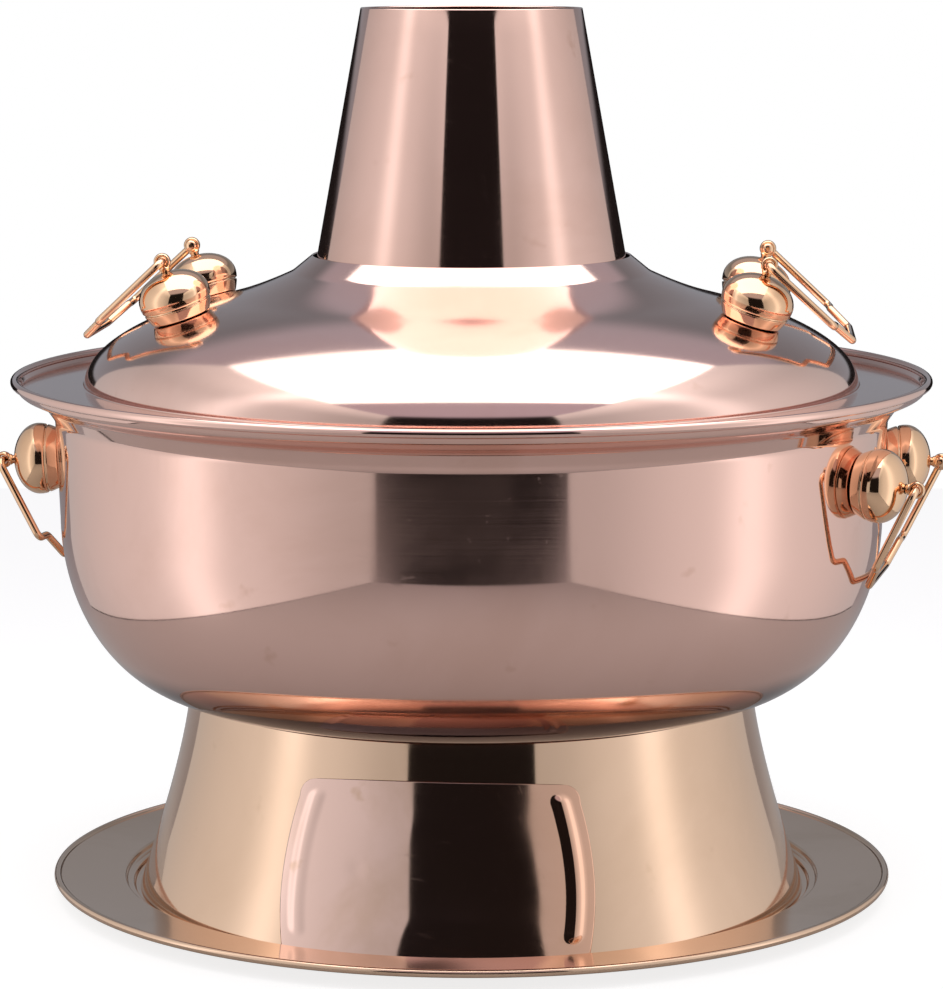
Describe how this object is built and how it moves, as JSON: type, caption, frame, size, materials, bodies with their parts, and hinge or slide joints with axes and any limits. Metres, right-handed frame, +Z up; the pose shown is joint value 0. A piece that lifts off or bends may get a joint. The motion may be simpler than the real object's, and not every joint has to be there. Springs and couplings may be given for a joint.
{
  "type": "chimney hot pot",
  "caption": "Charcoal hot pot: ring-shaped bowl round a fire tube, lift-off chimney and domed lid, wire bails on ball lugs, flared pedestal with sliding air door, water tray.",
  "frame": {"origin": "centre of the water tray's underside, on the table", "axes": "+Z up along the chimney; +X towards the pot's right bail; the air door faces -Y, turned a little towards +X"},
  "size_m": [0.3674, 0.36, 0.347],
  "materials": {
    "rose_shell": "rose-gold plated stainless sheet, polished with a fine lengthwise brushing round the axis",
    "champagne_shell": "paler gold plated stainless sheet, polished with a fine brushing round the axis",
    "gold_fitting": "mirror-polished orange-gold plating on steel",
    "cast_iron_grate": "rough grey cast iron, heat-stained",
    "plain_steel": "plain bright steel, dulled by heat"
  },
  "bodies": {
    "tray": {"water_tray": "champagne_shell"},
    "pot": {"pedestal": "champagne_shell", "bowl": "rose_shell", "fire_tube": "rose_shell", "fire_grate": "cast_iron_grate", "grate_bolts": "plain_steel", "grate_nuts": "plain_steel", "pot_right_front_lug_base": "gold_fitting", "pot_right_front_lug_cap": "gold_fitting", "pot_right_front_eye_stud": "gold_fitting", "pot_right_back_lug_base": "gold_fitting", "pot_right_back_lug_cap": "gold_fitting", "pot_right_back_eye_stud": "gold_fitting", "pot_left_front_lug_base": "gold_fitting", "pot_left_front_lug_cap": "gold_fitting", "pot_left_front_eye_stud": "gold_fitting", "pot_left_back_lug_base": "gold_fitting", "pot_left_back_lug_cap": "gold_fitting", "pot_left_back_eye_stud": "gold_fitting"},
    "air_door": {"air_door": "champagne_shell", "door_left_clip": "plain_steel", "door_right_clip": "plain_steel"},
    "chimney": {"chimney": "rose_shell"},
    "lid": {"lid": "rose_shell", "lid_right_front_lug_base": "gold_fitting", "lid_right_front_lug_cap": "gold_fitting", "lid_right_front_eye_stud": "gold_fitting", "lid_right_back_lug_base": "gold_fitting", "lid_right_back_lug_cap": "gold_fitting", "lid_right_back_eye_stud": "gold_fitting", "lid_left_front_lug_base": "gold_fitting", "lid_left_front_lug_cap": "gold_fitting", "lid_left_front_eye_stud": "gold_fitting", "lid_left_back_lug_base": "gold_fitting", "lid_left_back_lug_cap": "gold_fitting", "lid_left_back_eye_stud": "gold_fitting"},
    "pot_right_bail": {"pot_right_bail": "gold_fitting"},
    "pot_left_bail": {"pot_left_bail": "gold_fitting"},
    "lid_right_bail": {"lid_right_bail": "gold_fitting"},
    "lid_left_bail": {"lid_left_bail": "gold_fitting"}
  },
  "joints": [
    {"name": "pot_lift", "type": "slide", "parent": "tray", "child": "pot", "axis": [0, 0, 1], "range_m": [0, 0.05]},
    {"name": "air_door_turn", "type": "hinge", "parent": "pot", "child": "air_door", "pos_m": [0, 0, 0.034], "axis": [0, 0, 1], "range_deg": [-6, 6]},
    {"name": "chimney_lift", "type": "slide", "parent": "pot", "child": "chimney", "axis": [0, 0, 1], "range_m": [0, 0.06]},
    {"name": "lid_lift", "type": "slide", "parent": "pot", "child": "lid", "axis": [0, 0, 1], "range_m": [0, 0.18]},
    {"name": "pot_right_bail_swing", "type": "hinge", "parent": "pot", "child": "pot_right_bail", "pos_m": [0.18038, 0, 0.16959], "axis": [0, -1, 0], "range_deg": [0, 190]},
    {"name": "pot_left_bail_swing", "type": "hinge", "parent": "pot", "child": "pot_left_bail", "pos_m": [-0.18038, 0, 0.16959], "axis": [0, 1, 0], "range_deg": [0, 190]},
    {"name": "lid_right_bail_swing", "type": "hinge", "parent": "lid", "child": "lid_right_bail", "pos_m": [0.11433, 0.01913, 0.25084], "axis": [0.165, -0.9863, 0], "range_deg": [0, 220]},
    {"name": "lid_left_bail_swing", "type": "hinge", "parent": "lid", "child": "lid_left_bail", "pos_m": [-0.11433, -0.01913, 0.25084], "axis": [-0.165, 0.9863, 0], "range_deg": [0, 220]}
  ]
}
